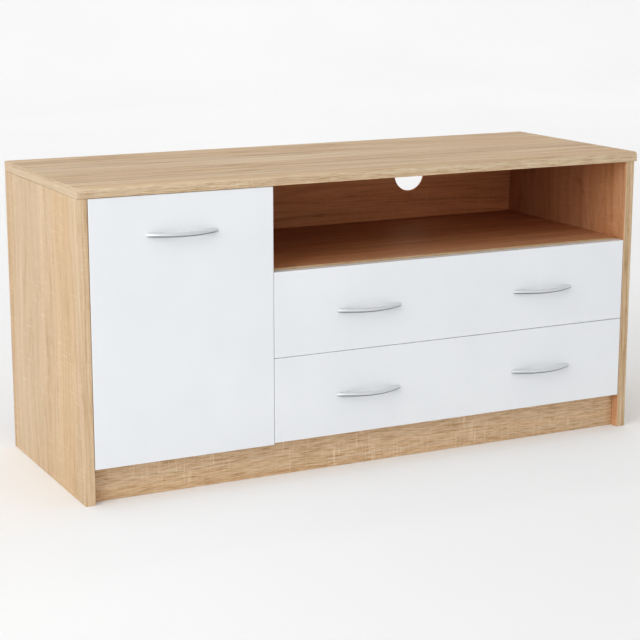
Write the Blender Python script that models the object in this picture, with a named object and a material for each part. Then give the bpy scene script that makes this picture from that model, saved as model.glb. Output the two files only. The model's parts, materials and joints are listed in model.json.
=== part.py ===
"""Low television stand: one inset door, an open niche and two drawers on roller runners.

Metres, +Z up. The origin is at the bottom centre of the whole object, handles included.
X runs along the stand's length, Y from the front (negative) to the back, and Z up from the floor.
"""

import math

import bmesh
import bpy
from mathutils import Vector

# ---------------------------------------------------------------- driving dimensions
TOP_LENGTH = 1.000
HEIGHT = 0.484
PANEL_DEPTH = 0.360          # side panels, front edge to the back panel
BOARD = 0.016                # laminated chipboard
BACK_THICK = 0.003           # hardboard back and drawer bottoms
TOP_RIGHT_OVERHANG = 0.004   # past the right side; the left end is flush
TOP_FRONT_OVERHANG = 0.0015
TOP_ARRIS_RADIUS = 0.007     # rounded upper front edge of the top
PLINTH_HEIGHT = 0.055
NICHE_HEIGHT = 0.1324
FRONT_GAP = 0.0008           # gap round the door and the drawer fronts
FRONT_CLEARANCE = 0.0005     # between the fronts and the panels behind them
DOOR_LINE = 0.3150           # door's right edge from the carcass's left face
DOOR_BOTTOM = 0.0555
DRAWER_BOTTOM = 0.0583
DRAWER_TOP = 0.3327
GAP = 0.0003                 # between pieces that touch
ARRIS = 0.0005               # softened edges of the boards
FLOOR = 0.0
SMALL_SIDES = 16             # facets round pins, axles and rollers' bores
ROLLER_SIDES = 24
CUP_SIDES = 32
HOLE_SIDES = 40

HANDLE_LENGTH = 0.116
HANDLE_REACH = 0.020         # how far the bow stands off the front
HANDLE_HEIGHT = 0.0072

CABLE_HOLE_RADIUS = 0.030
CABLE_HOLE_FROM_LEFT = 0.7600
CABLE_HOLE_HEIGHT = 0.417

# ---------------------------------------------------------------- places worked out from them
TOTAL_DEPTH = HANDLE_REACH + PANEL_DEPTH + BACK_THICK
FRONT = -TOTAL_DEPTH / 2 + HANDLE_REACH      # plane of the side panels' front edges and of the fronts
BACK = FRONT + PANEL_DEPTH                   # the carcass's back edges
FRONT_BACK = FRONT + BOARD                   # back face of the door and the drawer fronts
INNER_FRONT = FRONT_BACK + FRONT_CLEARANCE   # front edges of the panels behind the fronts

LEFT = -TOP_LENGTH / 2                       # outer face of the left side
RIGHT = TOP_LENGTH / 2 - TOP_RIGHT_OVERHANG
INNER_LEFT = LEFT + BOARD
INNER_RIGHT = RIGHT - BOARD
DIVIDER_RIGHT = LEFT + DOOR_LINE
DIVIDER_LEFT = DIVIDER_RIGHT - BOARD

UNDER_TOP = HEIGHT - BOARD
BOTTOM_TOP = PLINTH_HEIGHT + BOARD
SHELF_TOP = UNDER_TOP - NICHE_HEIGHT
SHELF_UNDER = SHELF_TOP - BOARD
DRAWER_HEIGHT = (DRAWER_TOP - DRAWER_BOTTOM - FRONT_GAP) / 2


# ---------------------------------------------------------------- materials
def make_material(name, colour, roughness, metallic=0.0):
    """One Principled material; colour is linear RGB."""
    material = bpy.data.materials.new(name)
    material.use_nodes = True
    shader = material.node_tree.nodes["Principled BSDF"]
    shader.inputs["Base Color"].default_value = (*colour, 1.0)
    shader.inputs["Roughness"].default_value = roughness
    shader.inputs["Metallic"].default_value = metallic
    material.diffuse_color = (*colour, 1.0)
    return material


def make_materials():
    """The stand's finishes by name."""
    return {
        "oak": make_material("oak_laminate", (0.62, 0.45, 0.30), 0.50),
        "white": make_material("white_laminate", (0.82, 0.84, 0.86), 0.35),
        "back": make_material("hardboard_back", (0.50, 0.35, 0.22), 0.60),
        "drawer": make_material("drawer_board", (0.80, 0.80, 0.79), 0.55),
        "handle": make_material("satin_metal", (0.70, 0.71, 0.73), 0.28, 1.0),
        "rail": make_material("white_enamel_steel", (0.80, 0.80, 0.79), 0.35, 0.1),
        "nickel": make_material("nickel_plated_steel", (0.60, 0.58, 0.55), 0.25, 1.0),
        "plastic": make_material("white_plastic", (0.75, 0.75, 0.73), 0.45),
    }


# ---------------------------------------------------------------- building blocks
def clear_scene():
    for item in list(bpy.data.objects):
        bpy.data.objects.remove(item, do_unlink=True)


def add_empty(name, location):
    empty = bpy.data.objects.new(name, None)
    empty.location = location
    bpy.context.scene.collection.objects.link(empty)
    return empty


def add_mesh(name, shape, origin, material, parent=None, smooth=False):
    """Turn a bmesh, whose points are relative to origin, into an object under parent."""
    bmesh.ops.recalc_face_normals(shape, faces=shape.faces)
    mesh = bpy.data.meshes.new(name)
    shape.to_mesh(mesh)
    shape.free()
    mesh.materials.append(material)
    if smooth:
        mesh.shade_smooth()
        mesh.set_sharp_from_angle(angle=math.radians(40))
    item = bpy.data.objects.new(name, mesh)
    bpy.context.scene.collection.objects.link(item)
    origin = Vector(origin)
    if parent:
        item.parent = parent
        origin -= parent.location
    item.location = origin
    return item


def box_shape(size):
    shape = bmesh.new()
    bmesh.ops.create_cube(shape, size=1.0)
    bmesh.ops.scale(shape, vec=Vector(size), verts=shape.verts)
    return shape


def soften(item, width, segments=1):
    """Bevel the object's sharp edges."""
    bevel = item.modifiers.new("Arris", "BEVEL")
    bevel.width = width
    bevel.segments = segments
    bevel.limit_method = "ANGLE"
    bevel.angle_limit = math.radians(40)


def add_board(name, low, high, material, parent=None, arris=ARRIS):
    """A rectangular panel between two corners, with softened edges."""
    low = Vector(low)
    high = Vector(high)
    item = add_mesh(name, box_shape(high - low), (low + high) / 2, material, parent)
    if arris:
        soften(item, arris)
    return item


def cylinder_shape(radius, length, axis, sides):
    """A cylinder about its own centre, along the X, Y or Z axis."""
    shape = bmesh.new()
    bmesh.ops.create_cone(
        shape, cap_ends=True, segments=sides, radius1=radius, radius2=radius, depth=length
    )
    turn = Vector((0, 0, 1)).rotation_difference(Vector(axis)).to_matrix()
    bmesh.ops.rotate(shape, cent=(0, 0, 0), matrix=turn, verts=shape.verts)
    return shape


def cut(item, cutter):
    """Cut the cutter's shape out of the item and keep the cutter as a hidden guide."""
    cutter.hide_render = True
    cutter.display_type = "WIRE"
    boolean = item.modifiers.new("Cut", "BOOLEAN")
    boolean.operation = "DIFFERENCE"
    boolean.solver = "EXACT"
    boolean.object = cutter


def drill(item, centre, axis, radius, length, sides):
    """Cut a round hole of this length, centred on centre."""
    number = len(item.modifiers)
    name = f"{item.name}_cutter_{number}"
    cutter = add_mesh(name, cylinder_shape(radius, length, axis, sides), centre, item.data.materials[0])
    if item.parent:
        cutter.parent = item.parent
        cutter.location -= item.parent.location
    cut(item, cutter)


def prism_shape(outline, length, place):
    """Extrude a closed outline of (a, b) points; place(a, b, c) gives the point, c from 0 to length."""
    shape = bmesh.new()
    near = [shape.verts.new(place(a, b, 0.0)) for a, b in outline]
    far = [shape.verts.new(place(a, b, length)) for a, b in outline]
    shape.faces.new(near)
    shape.faces.new(list(reversed(far)))
    for first in range(len(outline)):
        second = (first + 1) % len(outline)
        shape.faces.new((near[first], far[first], far[second], near[second]))
    return shape


def join_solids(item, other):
    """Weld the other object's solid onto the item with a Boolean union."""
    other.hide_render = True
    other.display_type = "WIRE"
    boolean = item.modifiers.new("Join", "BOOLEAN")
    boolean.operation = "UNION"
    boolean.solver = "EXACT"
    boolean.object = other


# ---------------------------------------------------------------- carcass
SHELF_PIN_RADIUS = 0.0025
SHELF_PIN_DEPTH = 0.009
SHELF_PIN_REACH = 0.007
SHELF_PIN_ARRIS = 0.0004
CABINET_SHELF_Z = 0.262                       # underside of the shelf behind the door
CABINET_SHELF_SETBACK = 0.030
SHELF_SIDE_GAP = 0.001
SHELF_PIN_FROM_EDGE = 0.060
SHELF_PIN_ROWS = (INNER_FRONT + SHELF_PIN_FROM_EDGE, BACK - SHELF_PIN_FROM_EDGE)
SHELF_PIN_Z = CABINET_SHELF_Z - GAP - SHELF_PIN_RADIUS
TOP_ARRIS_STEPS = 8
BACK_INSET = 0.001                            # the back's edges, from the carcass's
BACK_BOTTOM = PLINTH_HEIGHT - BOARD           # it laps over the bottom panel and part of the rail


def make_top(materials):
    """The top: its upper front edge is rounded, the others are only softened."""
    low = Vector((-TOP_LENGTH / 2, FRONT - TOP_FRONT_OVERHANG, UNDER_TOP))
    high = Vector((TOP_LENGTH / 2, BACK, HEIGHT))
    size = high - low
    shape = box_shape(size)
    front_edge = [
        edge for edge in shape.edges
        if all(v.co.y < 0 and v.co.z > 0 for v in edge.verts)
    ]
    bmesh.ops.bevel(
        shape, geom=front_edge, offset=TOP_ARRIS_RADIUS, offset_type="OFFSET",
        segments=TOP_ARRIS_STEPS, profile=0.5, affect="EDGES",
    )
    top = add_mesh("top_panel", shape, (low + high) / 2, materials["oak"], smooth=True)
    soften(top, ARRIS)


def shelf_pin_places():
    """Each pin's name, its panel's face, and the way it points out of the panel."""
    for row, depth in zip(("front", "back"), SHELF_PIN_ROWS):
        yield f"shelf_pin_left_{row}", INNER_LEFT, 1.0, depth
        yield f"shelf_pin_right_{row}", DIVIDER_LEFT, -1.0, depth


def make_upright_panels(materials):
    """Both sides and the divider, with the shelf pins' holes drilled in them."""
    left = add_board("side_left", (LEFT, FRONT, FLOOR), (INNER_LEFT, BACK, UNDER_TOP - GAP), materials["oak"])
    add_board("side_right", (INNER_RIGHT, FRONT, FLOOR), (RIGHT, BACK, UNDER_TOP - GAP), materials["oak"])
    divider = add_board(
        "divider", (DIVIDER_LEFT, INNER_FRONT, BOTTOM_TOP + GAP),
        (DIVIDER_RIGHT, BACK, UNDER_TOP - GAP), materials["oak"],
    )
    for _name, face, way, depth in shelf_pin_places():
        panel = left if way > 0 else divider
        centre = (face, depth, SHELF_PIN_Z)
        drill(panel, centre, (1, 0, 0), SHELF_PIN_RADIUS + GAP, 2 * SHELF_PIN_DEPTH, SMALL_SIDES)


def make_level_panels(materials):
    """Bottom, niche shelf, and the loose shelf behind the door."""
    add_board(
        "bottom_panel", (INNER_LEFT + GAP, INNER_FRONT, PLINTH_HEIGHT),
        (INNER_RIGHT - GAP, BACK, BOTTOM_TOP), materials["oak"],
    )
    add_board(
        "niche_shelf", (DIVIDER_RIGHT + GAP, INNER_FRONT, SHELF_UNDER),
        (INNER_RIGHT - GAP, BACK, SHELF_TOP), materials["oak"],
    )
    add_board(
        "cabinet_shelf",
        (INNER_LEFT + SHELF_SIDE_GAP, INNER_FRONT + CABINET_SHELF_SETBACK, CABINET_SHELF_Z),
        (DIVIDER_LEFT - SHELF_SIDE_GAP, BACK - SHELF_SIDE_GAP, CABINET_SHELF_Z + BOARD), materials["oak"],
    )


def make_base(materials):
    """The recessed plinth, and the rail that carries the bottom panel's back."""
    for name, front in (("plinth", INNER_FRONT), ("rear_rail", BACK - BOARD)):
        add_board(
            name, (INNER_LEFT + GAP, front, FLOOR),
            (INNER_RIGHT - GAP, front + BOARD, PLINTH_HEIGHT - GAP), materials["oak"],
        )


def make_back(materials):
    """Hardboard back, nailed on the carcass's back edges, with the cable hole behind the niche."""
    back = add_board(
        "back_panel", (LEFT + BACK_INSET, BACK + GAP, BACK_BOTTOM),
        (RIGHT - BACK_INSET, BACK + BACK_THICK, HEIGHT - BACK_INSET), materials["back"], arris=0,
    )
    centre = (LEFT + CABLE_HOLE_FROM_LEFT, BACK + BACK_THICK / 2, CABLE_HOLE_HEIGHT)
    drill(back, centre, (0, 1, 0), CABLE_HOLE_RADIUS, 4 * BACK_THICK, HOLE_SIDES)


def make_shelf_pins(materials):
    """A steel pin in each drilled hole; the loose shelf rests on them."""
    length = SHELF_PIN_DEPTH + SHELF_PIN_REACH - GAP
    for name, face, way, depth in shelf_pin_places():
        centre_x = face + way * (SHELF_PIN_REACH - length / 2)
        pin = add_mesh(
            name, cylinder_shape(SHELF_PIN_RADIUS, length, (1, 0, 0), SMALL_SIDES),
            (centre_x, depth, SHELF_PIN_Z), materials["nickel"], smooth=True,
        )
        soften(pin, SHELF_PIN_ARRIS)


# ---------------------------------------------------------------- handles
HANDLE_FOOT = 0.015          # length of each solid foot
HANDLE_FINGER_DEPTH = 0.0145  # between the bow and the front, at the middle
HANDLE_STATIONS = 25
HANDLE_BLUNTNESS = 4.0       # how square the bow's ends are, seen from the front
HANDLE_END_HEIGHT = 0.0038
HANDLE_END_DEPTH = 0.0012    # thickness left at each tip
HANDLE_FLANK = 0.45          # share of the bow's depth before its outer face starts to round
HANDLE_FACE_STEPS = 8        # facets across the outer face


def arc_height(x, half_chord, rise):
    """Height over its chord of a circular arc with this half chord and rise."""
    radius = (half_chord**2 + rise**2) / (2 * rise)
    if abs(x) >= half_chord:
        return 0.0
    return math.sqrt(radius**2 - x**2) - (radius - rise)


def handle_section(x):
    """The closed section at x, as (y, z) points; y is negative, away from the front."""
    half_length = HANDLE_LENGTH / 2
    share = min(abs(x) / half_length, 1.0)
    full = (1 - share**HANDLE_BLUNTNESS) ** 0.5
    half_height = (HANDLE_END_HEIGHT + (HANDLE_HEIGHT - HANDLE_END_HEIGHT) * full) / 2
    outer = arc_height(x, half_length, HANDLE_REACH - HANDLE_END_DEPTH) + HANDLE_END_DEPTH
    inner = max(arc_height(x, half_length - HANDLE_FOOT, HANDLE_FINGER_DEPTH), GAP)
    depth = outer - inner
    points = []
    # The outer face is a half ellipse, and the inner face is flat.
    for step in range(HANDLE_FACE_STEPS + 1):
        angle = -math.pi / 2 + math.pi * step / HANDLE_FACE_STEPS
        reach = inner + depth * (HANDLE_FLANK + (1 - HANDLE_FLANK) * math.cos(angle))
        points.append((-reach, half_height * math.sin(angle)))
    points.append((-inner, half_height))
    points.append((-inner, -half_height))
    return points


def handle_shape():
    """A bow: a crescent seen from above and a blunt spindle seen from the front."""
    shape = bmesh.new()
    rings = []
    for station in range(HANDLE_STATIONS):
        # Stations crowd towards the ends, where the outline turns fastest.
        x = -HANDLE_LENGTH / 2 * math.cos(math.pi * station / (HANDLE_STATIONS - 1))
        rings.append([shape.verts.new((x, y, z)) for y, z in handle_section(x)])
    count = len(rings[0])
    for ring, after in zip(rings, rings[1:]):
        for first in range(count):
            second = (first + 1) % count
            shape.faces.new((ring[first], ring[second], after[second], after[first]))
    shape.faces.new(rings[0])
    shape.faces.new(rings[-1])
    return shape


def add_handle(name, x, z, material, parent):
    """A bow handle centred on (x, z), standing on the front's face."""
    add_mesh(name, handle_shape(), (x, FRONT, z), material, parent, smooth=True)


# ---------------------------------------------------------------- door and its concealed hinges
DOOR_LEFT = INNER_LEFT + FRONT_GAP
DOOR_RIGHT = DIVIDER_RIGHT
DOOR_TOP = UNDER_TOP - FRONT_GAP
HINGE_FROM_END = 0.075       # hinge's centre from the door's top or bottom
CUP_RADIUS = 0.0175
CUP_DEPTH = 0.0115
CUP_WALL = 0.001
CUP_EDGE = 0.005             # board left between the cup and the door's edge
CUP_X = DOOR_LEFT + CUP_EDGE + CUP_RADIUS
WING_LENGTH = 0.052
WING_WIDTH = 0.012
WING_THICK = 0.0012
PLATE_FRONT = FRONT_BACK + 0.027
PLATE_LENGTH = 0.036
PLATE_HEIGHT = 0.048
PLATE_THICK = 0.004
PLATE_ARRIS = 0.001
ARM_WIDTH = 0.014
ARM_THICK = 0.003
ARM_ARRIS = 0.0006
ARM_REAR = PLATE_FRONT + 0.044
ARM_CRANK = FRONT_BACK + 0.026     # about the middle of the ramp that lifts the arm off the side panel
ARM_INNER_RAMP = (0.004, -0.008)   # the ramp's start and end from there, on the panel's side
ARM_OUTER_RAMP = (0.008, -0.005)
ARM_NOSE = FRONT_BACK + 0.004
ARM_NOSE_X = CUP_X + 0.004
DOOR_HANDLE_X = LEFT + 0.1646
DOOR_HANDLE_Z = 0.4068


def hinge_heights():
    return {"lower": DOOR_BOTTOM + HINGE_FROM_END, "upper": DOOR_TOP - HINGE_FROM_END}


def make_door(materials):
    """The door, its handle and the two hinge cups, all on the door's turning axis."""
    axis = add_empty("door_axis", (DOOR_LEFT, FRONT, 0.0))
    door = add_board("door", (DOOR_LEFT, FRONT, DOOR_BOTTOM), (DOOR_RIGHT, FRONT_BACK, DOOR_TOP),
                     materials["white"], axis)
    for height in hinge_heights().values():
        centre = (CUP_X, FRONT_BACK, height)
        drill(door, centre, (0, 1, 0), CUP_RADIUS + GAP, 2 * (CUP_DEPTH + GAP), CUP_SIDES)
    add_handle("door_handle", DOOR_HANDLE_X, DOOR_HANDLE_Z, materials["handle"], axis)
    for place, height in hinge_heights().items():
        add_hinge_cup(f"hinge_cup_{place}", height, materials["nickel"], axis)


def add_hinge_cup(name, height, material, parent):
    """A drawn steel cup let into the door, with its two screw wings."""
    flange_y = FRONT_BACK + GAP
    cup = add_mesh(
        name, box_shape((WING_WIDTH, WING_THICK, WING_LENGTH)),
        (CUP_X, flange_y + WING_THICK / 2, height), material, parent, smooth=True,
    )
    bowl_length = CUP_DEPTH + GAP + WING_THICK
    bowl = add_mesh(
        name + "_bowl", cylinder_shape(CUP_RADIUS, bowl_length, (0, 1, 0), CUP_SIDES),
        (CUP_X, flange_y + WING_THICK - bowl_length / 2, height), material, parent,
    )
    join_solids(cup, bowl)
    hollow_length = 2 * (CUP_DEPTH - CUP_WALL)
    hollow = add_mesh(
        name + "_hollow", cylinder_shape(CUP_RADIUS - CUP_WALL, hollow_length, (0, 1, 0), CUP_SIDES),
        (CUP_X, FRONT_BACK, height), material, parent,
    )
    cut(cup, hollow)


def arm_outline():
    """The cranked arm seen from above, as (x, y) points: plate end, ramp, and nose over the cup."""
    base = INNER_LEFT + GAP + PLATE_THICK + GAP
    return [
        (base, ARM_REAR),
        (base, ARM_CRANK + ARM_INNER_RAMP[0]),
        (ARM_NOSE_X - ARM_THICK, ARM_CRANK + ARM_INNER_RAMP[1]),
        (ARM_NOSE_X - ARM_THICK, ARM_NOSE),
        (ARM_NOSE_X + ARM_THICK, ARM_NOSE),
        (ARM_NOSE_X + ARM_THICK, ARM_CRANK + ARM_OUTER_RAMP[1]),
        (base + ARM_THICK, ARM_CRANK + ARM_OUTER_RAMP[0]),
        (base + ARM_THICK, ARM_REAR),
    ]


def make_hinge_arms(materials):
    """A mounting plate on the side panel at each hinge, and the cranked arm clipped on it."""
    for place, height in hinge_heights().items():
        add_board(
            f"hinge_plate_{place}",
            (INNER_LEFT + GAP, PLATE_FRONT, height - PLATE_HEIGHT / 2),
            (INNER_LEFT + GAP + PLATE_THICK, PLATE_FRONT + PLATE_LENGTH, height + PLATE_HEIGHT / 2),
            materials["nickel"], arris=PLATE_ARRIS,
        )
        low = height - ARM_WIDTH / 2
        arm = add_mesh(
            f"hinge_arm_{place}",
            prism_shape(arm_outline(), ARM_WIDTH, lambda x, y, along, low=low: (x, y, low + along)),
            (0, 0, 0), materials["nickel"],
        )
        soften(arm, ARM_ARRIS)


# ---------------------------------------------------------------- drawers and their roller runners
DRAWER_SPACE_LEFT = DIVIDER_RIGHT
DRAWER_SPACE_RIGHT = INNER_RIGHT
DRAWER_FRONT_LEFT = DIVIDER_RIGHT + FRONT_GAP
DRAWER_FRONT_RIGHT = INNER_RIGHT - FRONT_GAP
RUNNER_SPACE = 0.0125        # on each side of the drawer box
RUNNER_LENGTH = 0.300
BOX_WALL = 0.012
BOX_WALL_HEIGHT = 0.090
BOX_RISE = 0.0225            # box wall's underside above the front's lower edge
BOX_LEFT = DRAWER_SPACE_LEFT + RUNNER_SPACE
BOX_RIGHT = DRAWER_SPACE_RIGHT - RUNNER_SPACE
BOX_FRONT = FRONT_BACK + GAP
BOX_BACK = BOX_FRONT + RUNNER_LENGTH
RAIL_STEEL = 0.0012
CHANNEL_HEIGHT = 0.0222      # fixed rail's channel, outside
CHANNEL_DEPTH = 0.0092       # carcass face to its flanges' free edges
CHANNEL_RISE = 0.0155        # channel's underside above the front's lower edge
NOTCH_LENGTH = 0.027         # how far the upper flange is cut back
NOTCH_DEPTH = 0.016          # cutter's size across the flange and down through it
NOTCH_HEIGHT = 0.006
NOTCH_DROP = 0.005           # its lower face, below the channel's top
RAIL_FOOT = 0.012            # how far the moving rail's foot reaches under the drawer bottom
FLANGE_EDGE = 0.0028         # moving flange's free edge, from the carcass face
FLANGE_CLEARANCE = 0.0006    # between the moving flange and the channel
ROLLER_RADIUS = 0.0095
ROLLER_BORE = 0.0033
ROLLER_ARRIS = 0.0006
AXLE_RADIUS = 0.0030
AXLE_END = 0.0006            # axle past its roller
ROLLER_SETBACK = 0.014       # roller axle from its rail's end
REAR_ROLLER_RISE = 0.0110    # axles above the channel's underside
FRONT_ROLLER_RISE = 0.0130
FRONT_ROLLER_FACES = (0.0025, 0.0092)   # the rollers' two faces, from the carcass face
REAR_ROLLER_FACES = (0.0030, 0.0098)
DRAWER_HANDLE_XS = (LEFT + 0.4842, LEFT + 0.8146)
DRAWER_HANDLE_RISE = (0.0660, 0.0657)   # above the lower edge of the lower and the upper front


def drawer_levels():
    """Each drawer's name and the height of its front's lower edge."""
    return {"lower": DRAWER_BOTTOM, "upper": DRAWER_BOTTOM + DRAWER_HEIGHT + FRONT_GAP}


def runner_sides():
    """Each side's name, the carcass face its runner is screwed to, and the way towards the drawer."""
    return {"left": (DRAWER_SPACE_LEFT, 1.0), "right": (DRAWER_SPACE_RIGHT, -1.0)}


def make_drawer_box(level, base, materials, slide):
    """Front, two sides, back and hardboard bottom."""
    side_low = base + BOX_RISE
    side_high = side_low + BOX_WALL_HEIGHT
    board = materials["drawer"]
    add_board(
        f"drawer_{level}_front", (DRAWER_FRONT_LEFT, FRONT, base),
        (DRAWER_FRONT_RIGHT, FRONT_BACK, base + DRAWER_HEIGHT), materials["white"], slide,
    )
    add_board(
        f"drawer_{level}_side_left", (BOX_LEFT, BOX_FRONT, side_low),
        (BOX_LEFT + BOX_WALL, BOX_BACK, side_high), board, slide,
    )
    add_board(
        f"drawer_{level}_side_right", (BOX_RIGHT - BOX_WALL, BOX_FRONT, side_low),
        (BOX_RIGHT, BOX_BACK, side_high), board, slide,
    )
    add_board(
        f"drawer_{level}_back", (BOX_LEFT + BOX_WALL + GAP, BOX_BACK - BOX_WALL, side_low),
        (BOX_RIGHT - BOX_WALL - GAP, BOX_BACK, side_high), board, slide,
    )
    add_board(
        f"drawer_{level}_bottom", (BOX_LEFT, BOX_FRONT, side_low - GAP - BACK_THICK),
        (BOX_RIGHT, BOX_BACK, side_low - GAP), board, slide, arris=0,
    )


def channel_outline():
    """Fixed rail's section as (out, up): out from the carcass face, up from the channel's underside."""
    lip = CHANNEL_DEPTH
    web = GAP + RAIL_STEEL
    return [
        (GAP, 0.0),
        (lip, 0.0),
        (lip, RAIL_STEEL),
        (web, RAIL_STEEL),
        (web, CHANNEL_HEIGHT - RAIL_STEEL),
        (lip, CHANNEL_HEIGHT - RAIL_STEEL),
        (lip, CHANNEL_HEIGHT),
        (GAP, CHANNEL_HEIGHT),
    ]


def drawer_rail_outline():
    """Moving rail's section: a foot under the drawer bottom, a web, and a flange over the channel."""
    foot_up = BOX_RISE - CHANNEL_RISE - GAP - BACK_THICK - GAP
    web_out = RUNNER_SPACE - GAP
    web_in = web_out - RAIL_STEEL
    foot_out = RUNNER_SPACE + RAIL_FOOT
    top = CHANNEL_HEIGHT + FLANGE_CLEARANCE + RAIL_STEEL
    return [
        (web_in, foot_up - RAIL_STEEL),
        (foot_out, foot_up - RAIL_STEEL),
        (foot_out, foot_up),
        (web_out, foot_up),
        (web_out, top),
        (FLANGE_EDGE, top),
        (FLANGE_EDGE, top - RAIL_STEEL),
        (web_in, top - RAIL_STEEL),
    ]


def rail_placer(face, way, level_z, start_y):
    """Turn a section's (out, up) and a distance along the rail into a point."""
    def place(out, up, along):
        return (face + way * out, start_y + along, level_z + up)
    return place


def add_axle(name, face, way, y, z, span, material, parent=None):
    """A roller's axle, over a span of distances off the carcass face."""
    near, far = span
    centre = (face + way * (near + far) / 2, y, z)
    shape = cylinder_shape(AXLE_RADIUS, far - near, (1, 0, 0), SMALL_SIDES)
    return add_mesh(name, shape, centre, material, parent)


def add_roller(name, face, way, y, z, span, material):
    """A plastic roller, free to turn on its axle, with its origin on the axle's axis."""
    near, far = span
    width = far - near
    centre = (face + way * (near + far) / 2, y, z)
    shape = cylinder_shape(ROLLER_RADIUS, width, (1, 0, 0), ROLLER_SIDES)
    roller = add_mesh(name, shape, centre, material, smooth=True)
    soften(roller, ROLLER_ARRIS)
    drill(roller, centre, (1, 0, 0), ROLLER_BORE, 2 * width, SMALL_SIDES)


def make_fixed_rail(name, face, way, channel_z, material):
    """The channel on the carcass, with the front roller's axle."""
    place = rail_placer(face, way, channel_z, BOX_FRONT)
    shape = prism_shape(channel_outline(), RUNNER_LENGTH, place)
    rail = add_mesh(f"{name}_fixed_rail", shape, (0, 0, 0), material)
    # The upper flange is cut back at the front to make room for the front roller.
    notch_x = face + way * (GAP + RAIL_STEEL + NOTCH_DEPTH / 2)
    notch_z = channel_z + CHANNEL_HEIGHT - NOTCH_DROP + NOTCH_HEIGHT / 2
    notch = add_mesh(
        f"{name}_notch", box_shape((NOTCH_DEPTH, 2 * NOTCH_LENGTH, NOTCH_HEIGHT)),
        (notch_x, BOX_FRONT, notch_z), material,
    )
    cut(rail, notch)
    span = (GAP + RAIL_STEEL / 2, FRONT_ROLLER_FACES[1] + AXLE_END)
    y = BOX_FRONT + ROLLER_SETBACK
    z = channel_z + FRONT_ROLLER_RISE
    join_solids(rail, add_axle(f"{name}_front_axle", face, way, y, z, span, material))


def make_drawer_rail(name, face, way, channel_z, material, slide):
    """The rail under the drawer box, with the rear roller's axle."""
    place = rail_placer(face, way, channel_z, BOX_FRONT)
    shape = prism_shape(drawer_rail_outline(), RUNNER_LENGTH, place)
    rail = add_mesh(f"{name}_drawer_rail", shape, (0, 0, 0), material, slide)
    span = (REAR_ROLLER_FACES[0] - AXLE_END, RUNNER_SPACE - GAP - RAIL_STEEL / 2)
    y = BOX_BACK - ROLLER_SETBACK
    z = channel_z + REAR_ROLLER_RISE
    join_solids(rail, add_axle(f"{name}_rear_axle", face, way, y, z, span, material, slide))


def make_runner(level, base, side, face, way, materials, slide):
    """One runner: fixed rail with the front roller, moving rail with the rear roller."""
    name = f"runner_{level}_{side}"
    channel_z = base + CHANNEL_RISE
    make_fixed_rail(name, face, way, channel_z, materials["rail"])
    make_drawer_rail(name, face, way, channel_z, materials["rail"], slide)
    add_roller(
        f"{name}_front_roller", face, way, BOX_FRONT + ROLLER_SETBACK, channel_z + FRONT_ROLLER_RISE,
        FRONT_ROLLER_FACES, materials["plastic"],
    )
    add_roller(
        f"{name}_rear_roller", face, way, BOX_BACK - ROLLER_SETBACK, channel_z + REAR_ROLLER_RISE,
        REAR_ROLLER_FACES, materials["plastic"],
    )


def make_drawers(materials):
    """Both drawers, each with its two handles and two runners."""
    for number, (level, base) in enumerate(drawer_levels().items()):
        slide = add_empty(f"drawer_{level}_slide", (0.0, FRONT, base))
        make_drawer_box(level, base, materials, slide)
        for side, x in zip(("left", "right"), DRAWER_HANDLE_XS):
            z = base + DRAWER_HANDLE_RISE[number]
            add_handle(f"drawer_{level}_handle_{side}", x, z, materials["handle"], slide)
        for side, (face, way) in runner_sides().items():
            make_runner(level, base, side, face, way, materials, slide)


def main():
    clear_scene()
    materials = make_materials()
    make_top(materials)
    make_upright_panels(materials)
    make_level_panels(materials)
    make_base(materials)
    make_back(materials)
    make_shelf_pins(materials)
    make_door(materials)
    make_hinge_arms(materials)
    make_drawers(materials)


main()
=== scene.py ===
"""Looks of the television stand: detailed boards, fronts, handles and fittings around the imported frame."""

import json
import math

import bmesh
import bpy
from mathutils import Matrix, Vector


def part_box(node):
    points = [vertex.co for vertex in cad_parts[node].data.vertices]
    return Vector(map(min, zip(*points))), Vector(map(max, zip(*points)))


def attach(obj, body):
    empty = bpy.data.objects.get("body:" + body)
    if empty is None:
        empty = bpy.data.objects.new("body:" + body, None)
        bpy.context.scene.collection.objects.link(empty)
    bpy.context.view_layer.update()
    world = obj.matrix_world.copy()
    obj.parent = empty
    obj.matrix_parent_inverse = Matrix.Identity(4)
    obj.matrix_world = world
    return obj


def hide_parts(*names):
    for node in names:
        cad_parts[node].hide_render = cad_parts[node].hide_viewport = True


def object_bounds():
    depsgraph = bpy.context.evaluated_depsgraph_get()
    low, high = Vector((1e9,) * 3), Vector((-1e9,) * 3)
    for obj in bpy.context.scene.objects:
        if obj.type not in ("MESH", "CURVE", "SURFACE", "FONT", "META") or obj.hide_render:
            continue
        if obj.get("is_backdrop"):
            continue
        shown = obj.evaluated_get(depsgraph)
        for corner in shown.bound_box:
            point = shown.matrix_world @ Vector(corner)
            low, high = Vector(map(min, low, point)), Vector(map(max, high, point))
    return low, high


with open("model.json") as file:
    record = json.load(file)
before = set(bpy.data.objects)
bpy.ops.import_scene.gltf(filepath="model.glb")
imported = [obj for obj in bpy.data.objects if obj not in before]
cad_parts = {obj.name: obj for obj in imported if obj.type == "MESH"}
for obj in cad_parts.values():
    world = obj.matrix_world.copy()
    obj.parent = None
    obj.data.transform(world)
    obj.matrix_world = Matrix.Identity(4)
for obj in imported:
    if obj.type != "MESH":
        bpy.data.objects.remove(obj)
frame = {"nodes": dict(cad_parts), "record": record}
CAD_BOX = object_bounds()
NODES = frame["nodes"]
RECORD = frame["record"]
BODY_OF = {
    node: body
    for body, members in RECORD["behaviour"]["bodies"].items()
    for node in members
}
X, Y, Z = 0, 1, 2
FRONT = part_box("drawer_lower_front")[0].y          # plane of the door and the drawer fronts
FRONT_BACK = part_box("drawer_lower_front")[1].y     # their back faces


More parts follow.
